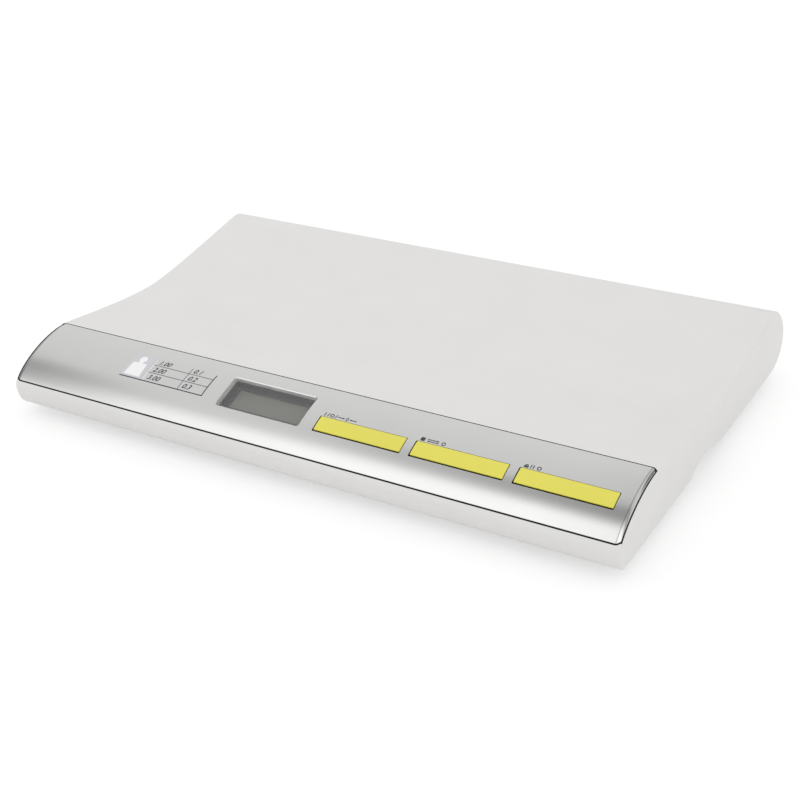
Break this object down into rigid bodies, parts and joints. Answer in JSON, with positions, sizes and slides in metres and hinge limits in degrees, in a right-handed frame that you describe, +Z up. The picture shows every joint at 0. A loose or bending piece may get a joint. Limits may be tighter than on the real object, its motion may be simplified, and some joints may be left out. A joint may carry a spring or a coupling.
{
  "type": "digital baby weighing scale",
  "caption": "Low baby scale with a dished white tray, a silver front panel with a display and yellow bar keys, and feet on load cells.",
  "frame": {"origin": "on the floor, under the middle of the scale's outline", "axes": "+X along the control panel to the user's right, +Y from the panel to the rear crest, +Z up"},
  "size_m": [0.55, 0.352, 0.067],
  "materials": {
    "white_plastic": "satin off-white",
    "cover_plastic": "fine texture",
    "silver_panel": "metallised satin silver",
    "yellow_plastic": "satin yellow",
    "dark_plastic": "satin dark grey",
    "clear_lens": "clear acrylic",
    "display_glass": "grey liquid crystal",
    "diffuser": "milky",
    "circuit_board": "green solder mask",
    "black_plastic": "moulded",
    "grey_rubber": "matt",
    "spring_steel": "stamped and plated",
    "screw_steel": "zinc plated",
    "battery_jacket": "printed jacket",
    "red_wire": "insulated",
    "black_wire": "insulated",
    "grey_wire": "sheathed"
  },
  "bodies": {
    "housing": {"top_shell": "white_plastic", "control_panel": "silver_panel", "base_cover": "cover_plastic", "display_lens": "clear_lens", "display_holder": "dark_plastic", "display_glass": "display_glass", "light_guide": "diffuser", "strip_connector": "grey_rubber", "main_board": "circuit_board", "main_board_screw_1": "screw_steel", "main_board_screw_2": "screw_steel", "power_tare_switch": "black_plastic", "unit_switch": "black_plastic", "hold_switch": "black_plastic", "key_board": "circuit_board", "key_board_screw_1": "screw_steel", "key_board_screw_2": "screw_steel", "board_link_cable": "grey_wire", "load_cell_front_left": "spring_steel", "load_cell_front_right": "spring_steel", "load_cell_rear_left": "spring_steel", "load_cell_rear_right": "spring_steel", "load_cell_lead_front_left": "grey_wire", "load_cell_lead_front_right": "grey_wire", "load_cell_lead_rear_left": "grey_wire", "load_cell_lead_rear_right": "grey_wire", "cover_screw_1": "screw_steel", "cover_screw_2": "screw_steel", "cover_screw_3": "screw_steel", "cover_screw_4": "screw_steel", "cover_screw_5": "screw_steel", "cover_screw_6": "screw_steel", "cover_screw_7": "screw_steel", "cover_screw_8": "screw_steel", "battery_cell_1": "battery_jacket", "battery_cell_2": "battery_jacket", "battery_cell_3": "battery_jacket", "battery_cell_4": "battery_jacket", "battery_contact_positive": "spring_steel", "battery_contact_link_left": "spring_steel", "battery_contact_negative": "spring_steel", "battery_contact_link_front": "spring_steel", "battery_contact_link_rear": "spring_steel", "battery_lead_red": "red_wire", "battery_lead_black": "black_wire"},
    "power_tare_key": {"power_tare_button": "yellow_plastic", "power_tare_switch_plunger": "black_plastic"},
    "unit_key": {"unit_button": "yellow_plastic", "unit_switch_plunger": "black_plastic"},
    "hold_key": {"hold_button": "yellow_plastic", "hold_switch_plunger": "black_plastic"},
    "foot_front_left": {"foot_cap_front_left": "cover_plastic", "foot_pad_front_left": "grey_rubber"},
    "foot_front_right": {"foot_cap_front_right": "cover_plastic", "foot_pad_front_right": "grey_rubber"},
    "foot_rear_left": {"foot_cap_rear_left": "cover_plastic", "foot_pad_rear_left": "grey_rubber"},
    "foot_rear_right": {"foot_cap_rear_right": "cover_plastic", "foot_pad_rear_right": "grey_rubber"},
    "door": {"battery_door": "cover_plastic"}
  },
  "joints": [
    {"name": "power_tare_press", "type": "slide", "parent": "housing", "child": "power_tare_key", "axis": [0, 0.3825, -0.924], "range_m": [0, 0.0006], "stiffness_N_per_m": 2500, "springref_m": -0.0003},
    {"name": "unit_press", "type": "slide", "parent": "housing", "child": "unit_key", "axis": [0, 0.3825, -0.924], "range_m": [0, 0.0006], "stiffness_N_per_m": 2500, "springref_m": -0.0003},
    {"name": "hold_press", "type": "slide", "parent": "housing", "child": "hold_key", "axis": [0, 0.3825, -0.924], "range_m": [0, 0.0006], "stiffness_N_per_m": 2500, "springref_m": -0.0003},
    {"name": "foot_front_left_flex", "type": "slide", "parent": "housing", "child": "foot_front_left", "axis": [0, 0, 1], "range_m": [0, 0.0005], "stiffness_N_per_m": 20000},
    {"name": "foot_front_right_flex", "type": "slide", "parent": "housing", "child": "foot_front_right", "axis": [0, 0, 1], "range_m": [0, 0.0005], "stiffness_N_per_m": 20000},
    {"name": "foot_rear_left_flex", "type": "slide", "parent": "housing", "child": "foot_rear_left", "axis": [0, 0, 1], "range_m": [0, 0.0005], "stiffness_N_per_m": 20000},
    {"name": "foot_rear_right_flex", "type": "slide", "parent": "housing", "child": "foot_rear_right", "axis": [0, 0, 1], "range_m": [0, 0.0005], "stiffness_N_per_m": 20000},
    {"name": "door_swing", "type": "hinge", "parent": "housing", "child": "door", "pos_m": [0, 0.01825, 0.0096], "axis": [-1, 0, 0], "range_deg": [0, 60]}
  ]
}
